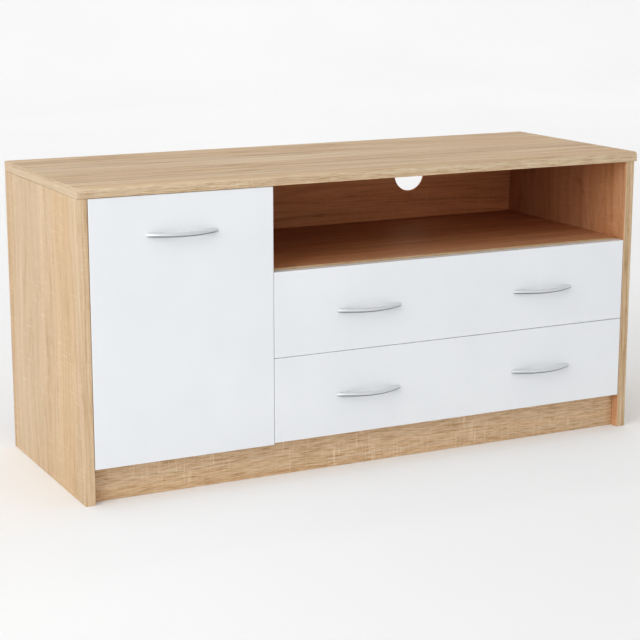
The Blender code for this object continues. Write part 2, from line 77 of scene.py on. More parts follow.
# ---------------------------------------------------------------- camera, light and floor
CAMERA_YAW = 26.67            # degrees the camera turns from straight ahead towards +X
CAMERA_PITCH = 12.22          # degrees it looks down
CAMERA_LENS = 95.88
CAMERA_FROM_CORNER = Vector((-0.788, -2.346, 0.829))   # from the left side panel's lower front corner
CAMERA_SHIFT = (0.0044, -0.0098)
SENSOR_WIDTH = 36.0
TOE_DEPTH = 0.108             # brightness over which the display curve's toe fades out
TOE_SHARE = 0.90              # share of the curve's slope that the toe takes away at black
TOE_LEVELS = (0.04, 0.08, 0.14, 0.22, 0.35, 0.60)
WORLD_LEFT = 0.98             # the studio's brightness from the left and from the right
WORLD_RIGHT = 0.74
STAND_MIDDLE = (0.0, 0.0, 0.25)
AREA_LIGHTS = (
    # name, place, what it is aimed at, size, watts
    ("key_left", (-3.2, -1.6, 1.9), STAND_MIDDLE, (2.4, 2.4), 45.0),
    ("wall_wash", (3.0, 3.0, 6.0), (3.0, 9.0, 1.5), (14.0, 1.5), 160.0),
    ("far_left", (-4.6, -1.2, 1.4), STAND_MIDDLE, (3.0, 3.0), 36.0),
)


def set_camera():
    """The camera stands to the stand's front left and looks slightly down."""
    camera_data = bpy.data.cameras.new("camera")
    camera_data.sensor_width = SENSOR_WIDTH
    camera_data.lens = CAMERA_LENS
    camera_data.shift_x, camera_data.shift_y = CAMERA_SHIFT
    camera = bpy.data.objects.new("camera", camera_data)
    camera.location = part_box("side_left")[0] + CAMERA_FROM_CORNER
    camera.rotation_euler = (math.radians(90 - CAMERA_PITCH), 0.0, math.radians(-CAMERA_YAW))
    bpy.context.scene.collection.objects.link(camera)
    bpy.context.scene.camera = camera


def set_view():
    """A plain display view whose curve deepens the shadows as in a product picture."""
    view = bpy.context.scene.view_settings
    view.view_transform = "Standard"
    view.use_curve_mapping = True
    curve = view.curve_mapping.curves[3]
    for level in TOE_LEVELS:
        curve.points.new(level, toe(level))
    curve.points[-1].location = (1.0, toe(1.0))
    view.curve_mapping.update()


def toe(level):
    """The display curve: nearly flat at black, then a straight line a little lower than the level."""
    return level - TOE_SHARE * TOE_DEPTH * (1 - math.exp(-level / TOE_DEPTH))


def add_area_light(name, location, target, size, power):
    """A soft box that lights the scene and isn't seen itself."""
    light_data = bpy.data.lights.new(name, "AREA")
    light_data.shape = "RECTANGLE"
    light_data.size, light_data.size_y = size
    light_data.energy = power
    light = bpy.data.objects.new(name, light_data)
    light.visible_camera = False
    light.location = location
    light.rotation_euler = (Vector(target) - Vector(location)).to_track_quat("-Z", "Y").to_euler()
    bpy.context.scene.collection.objects.link(light)


def set_light():
    """A white studio, brighter from the left, with soft boxes."""
    world = bpy.data.worlds.new("studio")
    world.use_nodes = True
    background = world.node_tree.nodes["Background"]
    background.inputs["Color"].default_value = (1.0, 1.0, 1.0, 1.0)
    direction = world.node_tree.nodes.new("ShaderNodeTexCoord").outputs["Generated"]
    split = world.node_tree.nodes.new("ShaderNodeSeparateXYZ")
    world.node_tree.links.new(direction, split.inputs["Vector"])
    strength = world.node_tree.nodes.new("ShaderNodeMapRange")
    strength.inputs["From Min"].default_value = -1.0
    strength.inputs["From Max"].default_value = 1.0
    strength.inputs["To Min"].default_value = WORLD_LEFT
    strength.inputs["To Max"].default_value = WORLD_RIGHT
    world.node_tree.links.new(split.outputs["X"], strength.inputs["Value"])
    world.node_tree.links.new(strength.outputs["Result"], background.inputs["Strength"])
    bpy.context.scene.world = world
    for settings in AREA_LIGHTS:
        add_area_light(*settings)


def make_floor():
    """A wide pale floor that sweeps up far behind the stand."""
    half_width = 30.0
    front = -20.0
    sweep_start = 6.0
    sweep_radius = 3.0
    wall_top = 12.0
    steps = 16
    profile = [(front, 0.0), (sweep_start, 0.0)]
    for step in range(1, steps + 1):
        angle = math.pi / 2 * step / steps
        y = sweep_start + sweep_radius * math.sin(angle)
        profile.append((y, sweep_radius * (1 - math.cos(angle))))
    profile.append((sweep_start + sweep_radius, wall_top))
    shape = bmesh.new()
    rows = [[shape.verts.new((x, y, z)) for x in (-half_width, half_width)] for y, z in profile]
    for row, after in zip(rows, rows[1:]):
        shape.faces.new((row[0], row[1], after[1], after[0]))
    mesh = bpy.data.meshes.new("floor")
    shape.to_mesh(mesh)
    shape.free()
    mesh.shade_smooth()
    mesh.materials.append(floor_material())
    floor = bpy.data.objects.new("floor", mesh)
    bpy.context.scene.collection.objects.link(floor)
    floor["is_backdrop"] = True


# ---------------------------------------------------------------- node graphs
class Graph:
    """A material under construction."""

    def __init__(self, name):
        self.material = bpy.data.materials.new(name)
        self.material.use_nodes = True
        self.tree = self.material.node_tree
        self.shader = self.tree.nodes["Principled BSDF"]

    def add(self, kind, inputs=None, **settings):
        """A new node; an input is given a plain value or another node's output."""
        made = self.tree.nodes.new(kind)
        for key, value in settings.items():
            setattr(made, key, value)
        for key, value in (inputs or {}).items():
            self.feed(made.inputs[key], value)
        return made

    def feed(self, socket, value):
        """Link another node's output to the socket, or set a plain value on it."""
        if isinstance(value, bpy.types.NodeSocket):
            self.tree.links.new(value, socket)
        elif socket.type == "RGBA" and len(value) == 3:
            socket.default_value = (*value, 1.0)
        else:
            socket.default_value = value

    def place(self):
        """Object coordinates in metres."""
        return self.add("ShaderNodeTexCoord").outputs["Object"]

    def stretched(self, point, stretch, shift=(0.0, 0.0, 0.0)):
        """The point multiplied by stretch, then moved by shift."""
        return self.add(
            "ShaderNodeMapping", {"Vector": point, "Location": shift, "Scale": stretch}
        ).outputs["Vector"]

    def noise(self, point, detail=2.0, roughness=0.5, output="Fac"):
        """Noise whose rate is how far the point was stretched."""
        inputs = {"Vector": point, "Scale": 1.0, "Detail": detail, "Roughness": roughness}
        return self.add("ShaderNodeTexNoise", inputs).outputs[output]

    def even_noise(self, scale, detail=2.0, roughness=0.5):
        """Noise at the same rate per metre in every direction."""
        return self.noise(self.stretched(self.place(), (scale, scale, scale)), detail, roughness)

    def drawn_lines(self, axis):
        """The fine lines that drawing or brushing leaves along the axis."""
        return self.noise(self.stretched(self.place(), along(axis, 60.0, 2600.0)), 3.0, 0.6)

    def ramp(self, factor, stops):
        """stops are (position, colour or grey) pairs."""
        made = self.add("ShaderNodeValToRGB", {"Fac": factor})
        elements = made.color_ramp.elements
        while len(elements) < len(stops):
            elements.new(0.5)
        for element, (position, colour) in zip(elements, stops):
            element.position = position
            red_green_blue = colour if isinstance(colour, tuple) else (colour, colour, colour)
            element.color = (*red_green_blue, 1.0)
        return made.outputs["Color"]

    def scaled(self, factor, low, high, from_low=0.0, from_high=1.0):
        """Map from_low to from_high onto low to high, without going past either."""
        inputs = {
            "Value": factor, "From Min": from_low, "From Max": from_high, "To Min": low, "To Max": high,
        }
        return self.add("ShaderNodeMapRange", inputs).outputs["Result"]

    def mix(self, factor, first, second, blend="MIX"):
        made = self.add("ShaderNodeMix", data_type="RGBA", blend_type=blend)
        self.feed(made.inputs[0], factor)
        self.feed(made.inputs[6], first)
        self.feed(made.inputs[7], second)
        return made.outputs[2]

    def math(self, operation, first, second=0.0):
        made = self.add("ShaderNodeMath", operation=operation)
        self.feed(made.inputs[0], first)
        self.feed(made.inputs[1], second)
        return made.outputs["Value"]

    def vector_math(self, operation, first, second):
        made = self.add("ShaderNodeVectorMath", operation=operation)
        self.feed(made.inputs[0], first)
        self.feed(made.inputs[1], second)
        return made.outputs["Vector"]

    def bump(self, height, distance, strength=1.0, below=None):
        """A relief of this depth in metres, on top of the one below."""
        inputs = {"Height": height, "Distance": distance, "Strength": strength}
        if below:
            inputs["Normal"] = below
        return self.add("ShaderNodeBump", inputs).outputs["Normal"]

    def worn_by(self, amount):
        """The amount at the rims that mark_edge_wear marked, and nothing inside them."""
        rim = self.add("ShaderNodeAttribute", attribute_name="edge_wear").outputs["Fac"]
        return self.math("MULTIPLY", rim, amount)

    def finish(self, colour, roughness, normal=None, metallic=0.0):
        """Feed the shader and hand over the material."""
        self.feed(self.shader.inputs["Base Color"], colour)
        self.feed(self.shader.inputs["Roughness"], roughness)
        self.shader.inputs["Metallic"].default_value = metallic
        if normal:
            self.feed(self.shader.inputs["Normal"], normal)
        return self.material


def along(axis, lengthwise, crosswise):
    """A stretch vector with one value along the grain's axis and another across it."""
    stretch = [crosswise] * 3
    stretch[axis] = lengthwise
    return tuple(stretch)


# ---------------------------------------------------------------- materials
OAK_TONES = (
    # darkest pores to palest wood
    (0.00, (0.294, 0.179, 0.090)),
    (0.22, (0.436, 0.300, 0.177)),
    (0.50, (0.579, 0.434, 0.287)),
    (0.76, (0.654, 0.518, 0.363)),
    (1.00, (0.739, 0.623, 0.474)),
)
COARSE_DASHES = (24.0, 340.0)  # short dark strokes per metre, along and across the grain
FINE_DASHES = (42.0, 560.0)


def oak_material(
    name, grain, seed, tint=(1.0, 1.0, 1.0), contrast=1.0, fineness=1.0, dashes=0.35, sawn=0.12,
    dash_rates=COARSE_DASHES,
):
    """Printed sawn oak: bands of tone, wandering growth lines, fibres, pores and saw marks across the grain.

    The seed moves the board to another place in the print. Rates are per metre, along and across the grain.
    """
    graph = Graph(name)
    shift = (1.7 * seed, 0.83 * seed, 2.9 * seed)
    place = graph.place()
    wander = graph.noise(graph.stretched(place, along(grain, 1.7, 6.0), shift), 2.0, 0.5, "Color")
    wander = graph.vector_math("SUBTRACT", wander, (0.5, 0.5, 0.5))
    wander = graph.vector_math("MULTIPLY", wander, along(grain, 0.0, 0.050 / fineness))
    point = graph.vector_math("ADD", place, wander)

    def figure(lengthwise, crosswise, detail, start=point):
        """Noise with one rate along the grain and another across it."""
        return graph.noise(graph.stretched(start, along(grain, lengthwise, crosswise), shift), detail, 0.6)

    band_steps = [(0.36, 0.10), (0.41, 0.45), (0.49, 0.78), (0.51, 0.42), (0.58, 0.62), (0.62, 0.95)]
    bands = graph.ramp(figure(0.45, 20.0 * fineness, 1.0), band_steps)
    growth = graph.math("FRACT", graph.math("MULTIPLY", figure(0.8, 24.0 * fineness, 0.0), 9.0))
    growth = graph.ramp(growth, [(0.00, 0.0), (0.10, 0.40), (0.45, 0.75), (0.88, 0.55), (1.00, 0.25)])
    streaks = figure(2.4, 105.0 * fineness, 3.0)
    short = figure(*dash_rates, 3.0)
    fibres = figure(12.0, 680.0, 3.0)
    pores = graph.scaled(figure(42.0, 1150.0, 2.0), 0.0, 1.0, 0.58, 0.68)
    saw = graph.scaled(figure(300.0, 26.0, 2.0, place), 0.0, 1.0, 0.54, 0.72)
    saw = graph.math("MULTIPLY", saw, graph.scaled(figure(9.0, 14.0, 2.0, place), 0.1, 1.0, 0.42, 0.62))

    layers = (
        (bands, 0.30 * contrast), (growth, 0.30 * contrast), (streaks, 0.80 * contrast),
        (short, dashes), (fibres, 0.30),
    )
    tone = 0.5 - sum(weight for _, weight in layers) / 2
    for layer, weight in layers:
        tone = graph.math("ADD", graph.math("MULTIPLY", layer, weight), tone)
    tone = graph.math("ADD", tone, graph.math("MULTIPLY", saw, sawn))
    tone = graph.math("SUBTRACT", tone, graph.math("MULTIPLY", pores, 0.25))
    colour = graph.ramp(tone, OAK_TONES)
    hue = figure(0.9, 15.0 * fineness, 1.0, graph.vector_math("ADD", point, (3.1, 4.7, 5.3)))
    warmth = graph.ramp(hue, [(0.36, (1.025, 0.985, 0.94)), (0.62, (0.99, 1.0, 1.01))])
    colour = graph.mix(1.0, colour, warmth, "MULTIPLY")
    worn = graph.worn_by(graph.scaled(streaks, 0.0, 0.30, 0.40, 0.65))
    colour = graph.mix(worn, colour, OAK_TONES[-1][1])
    colour = graph.mix(1.0, colour, tint, "MULTIPLY")

    roughness = graph.scaled(fibres, 0.46, 0.60, 0.3, 0.7)
    relief = graph.bump(pores, 0.00010, 0.50)
    relief = graph.bump(fibres, 0.00006, 0.45, relief)
    relief = graph.bump(saw, 0.00005, 0.30, relief)
    graph.shader.inputs["Specular IOR Level"].default_value = 0.35
    return graph.finish(colour, roughness, relief)


def white_laminate():
    """Satin white melamine: a hint of cloudiness, fine orange peel and slightly worn edges."""
    graph = Graph("white_laminate")
    clouds = graph.even_noise(6.0, 3.0, 0.55)
    peel = graph.even_noise(900.0)
    smears = graph.noise(graph.stretched(graph.place(), (26.0, 26.0, 9.0)), 3.0, 0.6)
    colour = graph.ramp(clouds, [(0.30, (0.832, 0.852, 0.876)), (0.70, (0.866, 0.884, 0.904))])
    worn = graph.worn_by(graph.scaled(smears, 0.0, 0.16, 0.42, 0.70))
    colour = graph.mix(worn, colour, (0.72, 0.72, 0.71))
    roughness = graph.scaled(smears, 0.30, 0.40, 0.35, 0.65)
    return graph.finish(colour, roughness, graph.bump(peel, 0.00002, 0.35))


def raw_chipboard():
    """Pressed flakes where no edging is glued on."""
    graph = Graph("raw_chipboard")
    point = graph.stretched(graph.place(), (620.0, 620.0, 620.0))
    flakes = graph.add("ShaderNodeTexVoronoi", {"Vector": point, "Scale": 1.0}).outputs["Color"]
    grey = graph.add("ShaderNodeRGBToBW", {"Color": flakes}).outputs["Val"]
    stops = [(0.15, (0.30, 0.19, 0.10)), (0.50, (0.52, 0.36, 0.21)), (0.85, (0.68, 0.52, 0.34))]
    relief = graph.bump(grey, 0.0003, 0.6)
    return graph.finish(graph.ramp(grey, stops), graph.scaled(grey, 0.75, 0.95), relief)


def drawer_foil():
    """Matt white foil on the drawer boxes."""
    graph = Graph("drawer_foil")
    clouds = graph.even_noise(9.0, 3.0)
    weave = graph.even_noise(700.0)
    worn = graph.worn_by(graph.scaled(clouds, 0.05, 0.25, 0.35, 0.65))
    colour = graph.ramp(clouds, [(0.3, (0.76, 0.76, 0.745)), (0.7, (0.81, 0.81, 0.80))])
    colour = graph.mix(worn, colour, (0.66, 0.63, 0.58))
    return graph.finish(colour, graph.scaled(clouds, 0.48, 0.58), graph.bump(weave, 0.00003, 0.4))


def raw_hardboard():
    """The unfinished side of thin hardboard: brown felted fibre with a pressed screen pattern."""
    graph = Graph("raw_hardboard")
    fibre = graph.even_noise(260.0, 5.0, 0.7)
    clouds = graph.even_noise(7.0, 3.0)
    threads = []
    for direction in ("X", "Z"):
        inputs = {"Vector": graph.place(), "Scale": 110.0, "Distortion": 0.8}
        wave = graph.add("ShaderNodeTexWave", inputs, bands_direction=direction)
        threads.append(wave.outputs["Fac"])
    screen = graph.math("MULTIPLY", *threads)
    stops = [(0.30, (0.215, 0.128, 0.070)), (0.55, (0.305, 0.192, 0.108)), (0.75, (0.395, 0.262, 0.156))]
    colour = graph.ramp(fibre, stops)
    colour = graph.mix(graph.scaled(clouds, 0.0, 0.35, 0.35, 0.65), colour, (0.26, 0.155, 0.085))
    relief = graph.bump(fibre, 0.0001, 0.5, graph.bump(screen, 0.0002, 0.6))
    return graph.finish(colour, graph.scaled(fibre, 0.70, 0.90), relief)


def metal_material(name, colour, dark, roughness, drawn_along):
    """Plated or anodised metal with fine drawn lines and slight clouding."""
    graph = Graph(name)
    lines = graph.drawn_lines(drawn_along)
    clouds = graph.even_noise(80.0, 3.0, 0.6)
    tone = graph.ramp(clouds, [(0.30, dark), (0.70, colour)])
    worn = graph.worn_by(0.5)
    tone = graph.mix(worn, tone, (0.88, 0.88, 0.88))
    rough = graph.scaled(lines, roughness - 0.05, roughness + 0.07, 0.3, 0.7)
    return graph.finish(tone, rough, graph.bump(lines, 0.00001, 0.35), metallic=1.0)


def satin_silver_painted_shade():
    """Satin chrome of the handles with painted shade and highlight: brightest on upward faces and darker on
    the underside, by the surface's world normal.
    """
    graph = Graph("satin_silver_painted_shade")
    lines = graph.drawn_lines(X)
    clouds = graph.even_noise(80.0, 3.0, 0.6)
    normal = graph.add("ShaderNodeNewGeometry").outputs["Normal"]
    upward_for_painted_shade = graph.add("ShaderNodeSeparateXYZ", {"Vector": normal}).outputs["Z"]
    # Painted shade and highlight: the colour runs from dark on downward faces to bright on upward faces,
    # standing in for reflections.
    stops = [
        (0.14, (0.22, 0.24, 0.26)), (0.30, (0.40, 0.42, 0.44)),
        (0.46, (0.80, 0.82, 0.84)), (0.80, (0.86, 0.87, 0.88)),
    ]
    tone = graph.ramp(graph.scaled(upward_for_painted_shade, 0.0, 1.0, -1.0, 1.0), stops)
    tone = graph.mix(graph.scaled(clouds, 0.0, 0.12), tone, (0.70, 0.71, 0.73))
    rough = graph.scaled(lines, 0.34, 0.46, 0.3, 0.7)
    return graph.finish(tone, rough, graph.bump(lines, 0.00001, 0.35), metallic=1.0)


def white_enamel():
    """White powder coat on rolled steel."""
    graph = Graph("white_enamel")
    peel = graph.even_noise(520.0)
    clouds = graph.even_noise(30.0)
    colour = graph.ramp(clouds, [(0.3, (0.74, 0.74, 0.72)), (0.7, (0.80, 0.80, 0.785))])
    return graph.finish(colour, graph.scaled(peel, 0.28, 0.40), graph.bump(peel, 0.00004, 0.4))


def white_nylon():
    """Moulded nylon with a fine spark-eroded grain."""
    graph = Graph("white_nylon")
    grain = graph.even_noise(1800.0)
    clouds = graph.even_noise(60.0)
    colour = graph.ramp(clouds, [(0.3, (0.72, 0.72, 0.70)), (0.7, (0.79, 0.79, 0.77))])
    return graph.finish(colour, graph.scaled(grain, 0.38, 0.52), graph.bump(grain, 0.00003, 0.4))


def floor_material():
    """Pale studio paper."""
    graph = Graph("pale_floor")
    clouds = graph.even_noise(0.8)
    return graph.finish(graph.ramp(clouds, [(0.3, 0.93), (0.7, 0.95)]), graph.scaled(clouds, 0.80, 0.90))


# ---------------------------------------------------------------- mesh helpers
WEAR_RIM = 0.0025             # width of the band along a board's edges that shows wear
BROAD = 1.2                   # a face is inset when its area over its perimeter is more rims than this
BOARD_ARRIS = 0.0004          # softened edges of the boards
HARDBOARD_ARRIS = 0.0002
TOUCH_GAP = 0.0003            # between pieces that touch, as in the CAD
SHARP_ANGLE = 35.0            # degrees, above which an edge is softened


def add_piece(name, shape, materials, body=None, node=None, cutters=(), smooth_angle=30.0):
    """Turn a bmesh into a piece that rides on the body, or on the body of the node that it replaces."""
    mesh = bpy.data.meshes.new(name)
    shape.to_mesh(mesh)
    shape.free()
    for material in materials:
        mesh.materials.append(material)
    mesh.shade_smooth()
    piece = bpy.data.objects.new(name, mesh)
    bpy.context.scene.collection.objects.link(piece)
    if cutters:
        carve(piece, cutters)
    piece.data.set_sharp_from_angle(angle=math.radians(smooth_angle))
    if node:
        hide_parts(node)
        body = BODY_OF[node]
    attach(piece, body)
    return piece


def carve(piece, cutters):
    """Cut each cutter's bmesh out of the piece's mesh."""
    guides = []
    for shape in cutters:
        mesh = bpy.data.meshes.new("cutter")
        shape.to_mesh(mesh)
        shape.free()
        guide = bpy.data.objects.new("cutter", mesh)
        bpy.context.scene.collection.objects.link(guide)
        boolean = piece.modifiers.new("Cut", "BOOLEAN")
        boolean.solver = "EXACT"
        boolean.object = guide
        guides.append(guide)
    bpy.context.view_layer.update()
    evaluated = piece.evaluated_get(bpy.context.evaluated_depsgraph_get())
    carved = bpy.data.meshes.new_from_object(evaluated)
    piece.modifiers.clear()
    piece.data = carved
    for guide in guides:
        bpy.data.objects.remove(guide)


def box_shape(low, high):
    """A box between two corners."""
    shape = bmesh.new()
    bmesh.ops.create_cube(shape, size=1.0)
    bmesh.ops.scale(shape, vec=high - low, verts=shape.verts)
    bmesh.ops.translate(shape, vec=(low + high) / 2, verts=shape.verts)
    return shape


def turn_to(axis):
    """The rotation that takes +Z to the axis."""
    return Vector((0, 0, 1)).rotation_difference(Vector(axis)).to_matrix().to_4x4()


def rod_shape(centre, axis, radius, length, sides=40):
    """A cylinder about centre."""
    shape = bmesh.new()
    bmesh.ops.create_cone(
        shape, cap_ends=True, segments=sides, radius1=radius, radius2=radius, depth=length,
        matrix=Matrix.Translation(centre) @ turn_to(axis),
    )
    return shape


def add_turned(shape, profile, centre, axis, sides=48, closed=False):
    """Turn a profile of (radius, height) points about the axis.

    A radius of 0 closes an end, and closed joins the profile's last point to its first.
    """
    matrix = Matrix.Translation(centre) @ turn_to(axis)
    rings = []
    for radius, height in profile:
        if radius == 0:
            rings.append([shape.verts.new(matrix @ Vector((0, 0, height)))])
            continue
        angles = [2 * math.pi * step / sides for step in range(sides)]
        rings.append([
            shape.verts.new(matrix @ Vector((radius * math.cos(a), radius * math.sin(a), height)))
            for a in angles
        ])
    if closed:
        rings.append(rings[0])
    for lower, upper in zip(rings, rings[1:]):
        for step in range(sides):
            after = (step + 1) % sides
            corners = [
                lower[step % len(lower)], lower[after % len(lower)],
                upper[after % len(upper)], upper[step % len(upper)],
            ]
            shape.faces.new(list(dict.fromkeys(corners)))


def bevel_sharp(shape, width):
    """Round the shape's sharp edges."""
    sharp = [edge for edge in shape.edges if edge.calc_face_angle(0.0) > math.radians(SHARP_ANGLE)]
    bmesh.ops.bevel(
        shape, geom=sharp, offset=width, segments=3, profile=0.5, affect="EDGES", clamp_overlap=True,
    )


def mark_edge_wear(shape):
    """Inset each broad face; 1 at its rim and 0 inside is what the materials read as edge wear."""
    layer = shape.verts.layers.float.new("edge_wear")
    for vert in shape.verts:
        vert[layer] = 1.0
    broad = [face for face in shape.faces if face.calc_area() > BROAD * WEAR_RIM * face.calc_perimeter()]
    bmesh.ops.inset_individual(shape, faces=broad, thickness=WEAR_RIM, depth=0.0)
    for face in broad:
        for vert in face.verts:
            vert[layer] = 0.0


def paint_faces(shape, slots, default):
    """Give each face the material slot listed for its nearest direction, such as (Y, -1)."""
    shape.normal_update()
    for face in shape.faces:
        sizes = [abs(value) for value in face.normal]
        axis = sizes.index(max(sizes))
        direction = (axis, 1 if face.normal[axis] > 0 else -1)
        face.material_index = slots.get(direction, default)


def make_board(node, materials, slots=None, default=0, arris=BOARD_ARRIS, front_radius=None, cutters=()):
    """A board with rounded arrises and worn rims, in place of a CAD node."""
    low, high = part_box(node)
    shape = box_shape(low, high)
    if front_radius:
        front_edge = [
            edge for edge in shape.edges
            if all(abs(v.co.y - low.y) < 1e-6 and abs(v.co.z - high.z) < 1e-6 for v in edge.verts)
        ]
        bmesh.ops.bevel(
            shape, geom=front_edge, offset=front_radius, segments=12, profile=0.5, affect="EDGES",
        )
    bevel_sharp(shape, arris)
    mark_edge_wear(shape)
    paint_faces(shape, slots or {}, default)
    return add_piece(f"{node}_board", shape, materials, node=node, cutters=cutters)


# ---------------------------------------------------------------- carcass boards
FACE, EDGING, RAW, END = range(4)
TOP_ROUND = 0.0068            # rounded upper front edge of the top
TOP_TINT = (1.01, 0.975, 0.945)
SIDE_TINT = (0.98, 0.975, 0.985)
EDGING_TINT = (1.08, 1.10, 1.14)
END_TINT = (0.96, 0.97, 1.00)
PLINTH_TINT = (1.11, 1.09, 1.12)
# Painted warm shade: the inner faces get a darker, redder copy of the same oak print.
INSIDE_PAINTED_SHADE_TINT = (1.09, 0.89, 0.87)
# The back's print colour, partly its own and partly painted warm bounce light of the niche.
BACK_PRINT_AND_BOUNCE_TINT = (1.37, 1.10, 1.02)
UPRIGHT_PRINT = {"contrast": 0.62, "fineness": 0.55, "sawn": 0.20}
TOP_EDGING_PRINT = {
    "contrast": 0.6, "fineness": 3.5, "dashes": 1.3, "sawn": 0.15, "dash_rates": FINE_DASHES,
}
PLINTH_PRINT = {
    "contrast": 0.35, "fineness": 5.0, "dashes": 1.45, "sawn": 0.35, "dash_rates": FINE_DASHES,
}


def pin_holes(panel):
    """Cutters for the shelf pins that stand in this panel."""
    low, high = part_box(panel)
    holes = []
    for node in NODES:
        if not node.startswith("shelf_pin"):
            continue
        pin_low, pin_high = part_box(node)
        if pin_low.x < high.x and pin_high.x > low.x:
            centre = (pin_low + pin_high) / 2
            radius = (pin_high.z - pin_low.z) / 2 + TOUCH_GAP
            depth = pin_high.x - pin_low.x + 2 * TOUCH_GAP
            holes.append(rod_shape(centre, (1, 0, 0), radius, depth, 24))
    return holes


def make_upright_boards(raw):
    """Both sides and the divider: grain up and down, edging only at the front."""
    # Faces inside the carcass take the painted warm shade tint; outer faces take the side tint.
    tints = {
        "side_left": (INSIDE_PAINTED_SHADE_TINT, SIDE_TINT),
        "side_right": (SIDE_TINT, INSIDE_PAINTED_SHADE_TINT),
        "divider": (INSIDE_PAINTED_SHADE_TINT, INSIDE_PAINTED_SHADE_TINT),
    }
    slots = {(X, 1): FACE, (X, -1): END, (Y, -1): EDGING}
    for seed, (node, (right_tint, left_tint)) in enumerate(tints.items()):
        right_face = oak_material(f"oak_{node}_right", Z, seed + 0.4, right_tint, **UPRIGHT_PRINT)
        left_face = oak_material(f"oak_{node}_left", Z, seed + 0.4, left_tint, **UPRIGHT_PRINT)
        edging = oak_material(f"oak_{node}_edging", Z, seed + 3.3, EDGING_TINT, fineness=2.2)
        make_board(node, [right_face, edging, raw, left_face], slots, RAW, cutters=pin_holes(node))


def make_level_boards(raw):
    """Bottom and both shelves: grain along the stand, edging at the front."""
    slots = {(Z, 1): FACE, (Z, -1): FACE, (Y, -1): EDGING}
    for seed, node in enumerate(("bottom_panel", "niche_shelf", "cabinet_shelf")):
        # The level boards' faces take the painted warm shade tint.
        face = oak_material(f"oak_{node}", X, seed + 6.1, INSIDE_PAINTED_SHADE_TINT)
        edging = oak_material(f"oak_{node}_edging", X, seed + 9.2, fineness=2.2)
        make_board(node, [face, edging, raw], slots, RAW)


def make_top_board(raw):
    """The top: rounded upper front edge, edging on the front and both ends."""
    face = oak_material("oak_top", X, 12.7, TOP_TINT, contrast=1.3)
    edging = oak_material("oak_top_edging", X, 13.9, EDGING_TINT, **TOP_EDGING_PRINT)
    end = oak_material("oak_top_end", Y, 15.2, END_TINT, contrast=0.7, fineness=1.6)
    slots = {(Z, 1): FACE, (Z, -1): FACE, (Y, -1): EDGING, (Y, 1): RAW}
    make_board("top_panel", [face, edging, raw, end], slots, END, front_radius=TOP_ROUND)


def make_base_boards(raw):
    """The plinth and the rear rail, with bare lower and upper edges."""
    slots = {(Y, 1): FACE, (Y, -1): FACE}
    for seed, node in enumerate(("plinth", "rear_rail")):
        face = oak_material(f"oak_{node}", X, seed + 17.5, PLINTH_TINT, **PLINTH_PRINT)
        make_board(node, [face, face, raw], slots, RAW)


NAIL_SPACING = 0.105
NAIL_FROM_EDGE = 0.004        # the least from the back's upper edge
NAIL_HEAD = ((0.0, 0.0001), (0.0012, 0.00009), (0.0019, 0.00003), (0.0019, 0.0), (0.0, 0.0))
CABLE_HOLE_RADIUS = 0.030


def make_back_board():
    """Thin hardboard, printed on the inner side, with the round cable hole."""
    opening = next(o for o in RECORD["physics"]["openings"] if o["name"] == "cable_hole")
    low, high = (Vector(corner) for corner in opening["box_m"])
    hole = rod_shape((low + high) / 2, (0, 1, 0), CABLE_HOLE_RADIUS, high.y - low.y, 72)
    # The tint holds the print's colour together with painted warm bounce light.
    printed = oak_material("oak_back", X, 20.3, BACK_PRINT_AND_BOUNCE_TINT)
    materials = [printed, raw_hardboard()]
    make_board("back_panel", materials, {(Y, -1): 0}, 1, arris=HARDBOARD_ARRIS, cutters=[hole])


def nail_places():
    """Points along the back edge of each board that the back panel is nailed to."""
    for node in ("top_panel", "bottom_panel", "niche_shelf", "side_left", "side_right", "divider"):
        low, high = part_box(node)
        run = Z if high.z - low.z > high.x - low.x else X
        middle = (low + high) / 2
        length = high[run] - low[run]
        count = round(length / NAIL_SPACING)
        for number in range(count):
            place = middle.copy()
            place[run] = low[run] + length * (number + 0.5) / count
            yield place


def make_nails(steel):
    """The back panel's nails, driven nearly flush, where there is back panel over a board."""
    back_low, back_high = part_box("back_panel")
    shape = bmesh.new()
    for place in nail_places():
        if place.z > back_low.z:
            centre = Vector((place.x, back_high.y, min(place.z, back_high.z - NAIL_FROM_EDGE)))
            add_turned(shape, NAIL_HEAD, centre, (0, 1, 0), 20)
    add_piece("back_nails", shape, [steel], BODY_OF["back_panel"])


# ---------------------------------------------------------------- screws
SCREW_SIDES = 32
SCREW_DRIVE_RINGS = (0.16, 0.32, 0.46, 0.56)   # shares of the radius that the cross may cut
SCREW_DOME_RINGS = (0.72, 0.88)
SCREW_EDGE = ((0.97, 0.55), (1.0, 0.35), (1.0, 0.0))   # shares of the radius and of the height
SCREW_DOME_DROP = 0.35
CROSS_HALF_WIDTH = 0.12
CROSS_FLOOR = 0.25
HANDLE_SCREW = (0.0042, 0.0022)   # radius and height of the head
CUP_SCREW = (0.0034, 0.0014)
PLATE_SCREW = (0.0038, 0.0014)
ARM_SCREW = (0.0036, 0.0016)
RAIL_SCREW = (0.0032, 0.0007)


